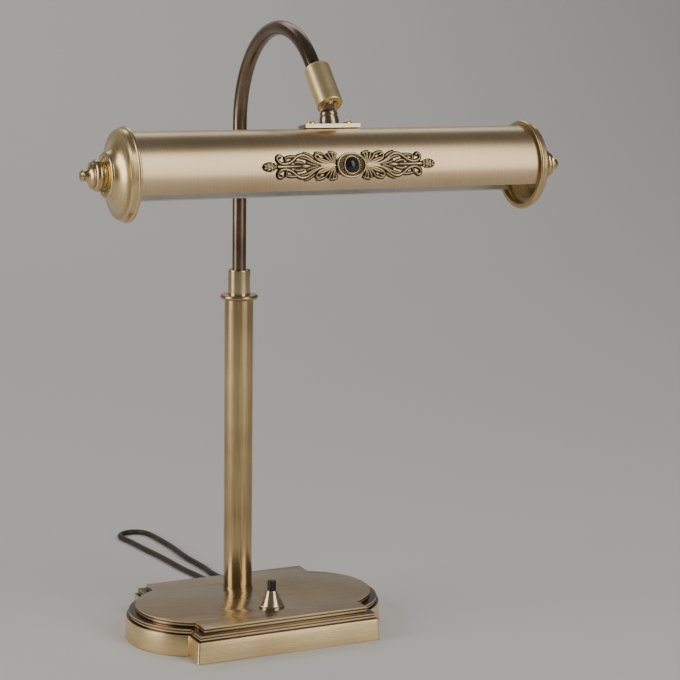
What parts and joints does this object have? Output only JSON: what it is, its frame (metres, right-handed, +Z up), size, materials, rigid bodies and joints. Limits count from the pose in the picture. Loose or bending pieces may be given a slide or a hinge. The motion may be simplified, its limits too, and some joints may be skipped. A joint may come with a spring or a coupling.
{
  "type": "piano lamp",
  "caption": "Brass piano lamp: moulded base with push switch, column, crooked arm that slides and turns, ball joint, long round shade with spun caps and oval ornament.",
  "frame": {"origin": "middle of the base's underside, on the table", "axes": "+Z up along the column, +X along the shade, +Y to the back of the base, where the cord leaves"},
  "size_m": [0.407, 0.511, 0.5216],
  "materials": {
    "base_brass": "brushed antique brass, clear lacquer",
    "column_brass": "brushed antique brass",
    "arm_brass": "antique brass, brown patina",
    "bright_brass": "polished brass",
    "shade_brass": "brass brushed round the tube, white enamel inside",
    "cap_brass": "spun antique brass",
    "ornament_brass": "dark patina with rubbed ridges",
    "stone": "polished black",
    "felt": "felt",
    "plain_steel": "zinc plated",
    "iron": "as cast",
    "black_plastic": "polished black",
    "holder_plastic": "moulded black",
    "bulb_glass": "clear glass",
    "bulb_metal": "rolled thread",
    "cord_brown": "dark brown mains cord",
    "plug_plastic": "dark brown moulded plug",
    "pin_brass": "plain brass pins"
  },
  "bodies": {
    "base": {"base_cover": "base_brass", "base_felt": "felt", "base_bottom": "plain_steel", "base_ballast": "iron", "column": "column_brass", "column_foot": "plain_steel", "column_nut": "plain_steel", "flange_ring": "column_brass", "gland_nut": "bright_brass", "switch_collar": "base_brass", "switch_block": "holder_plastic", "cord_bushing": "black_plastic", "cord_lead": "cord_brown", "cord_hank": "cord_brown", "cord_tail": "cord_brown", "plug_body": "plug_plastic", "plug_pin_left": "pin_brass", "plug_pin_right": "pin_brass"},
    "collet": {"collet": "holder_plastic"},
    "arm": {"arm_tube": "arm_brass", "arm_guide": "holder_plastic", "barrel": "bright_brass", "ball_cup": "plain_steel"},
    "swivel": {"ball_stud": "bright_brass", "stud_nut": "bright_brass", "stud_washer": "plain_steel", "stud_end_nut": "plain_steel"},
    "shade": {"bell": "bright_brass", "shade_plate": "shade_brass", "plate_screw_left": "bright_brass", "plate_screw_right": "bright_brass", "shade_tube": "shade_brass", "end_cap_left": "cap_brass", "end_cap_right": "cap_brass", "finial_left": "cap_brass", "finial_right": "cap_brass", "lamp_bracket": "plain_steel", "lampholder_left": "holder_plastic", "lampholder_right": "holder_plastic", "bulb_left": "bulb_glass", "bulb_right": "bulb_glass", "bulb_cap_left": "bulb_metal", "bulb_cap_right": "bulb_metal", "ornament": "ornament_brass", "ornament_frame": "ornament_brass", "ornament_stone": "stone"},
    "button": {"button": "black_plastic"}
  },
  "joints": [
    {"name": "arm_turn", "type": "hinge", "parent": "base", "child": "collet", "pos_m": [0, 0.037, 0.3], "axis": [0, 0, 1], "range_deg": [-170, 170]},
    {"name": "arm_height", "type": "slide", "parent": "collet", "child": "arm", "axis": [0, 0, 1], "range_m": [-0.12, 0.075]},
    {"name": "shade_tilt", "type": "hinge", "parent": "arm", "child": "swivel", "pos_m": [0, -0.13494, 0.46284], "axis": [1, 0, 0], "range_deg": [-35, 35]},
    {"name": "shade_turn", "type": "hinge", "parent": "swivel", "child": "shade", "pos_m": [0, -0.13494, 0.46284], "axis": [0, 0.1779, 0.984], "range_deg": [-60, 60]},
    {"name": "switch_press", "type": "slide", "parent": "base", "child": "button", "axis": [0, 0, -1], "range_m": [0, 0.003], "stiffness_N_per_m": 300, "springref_m": -0.001}
  ]
}
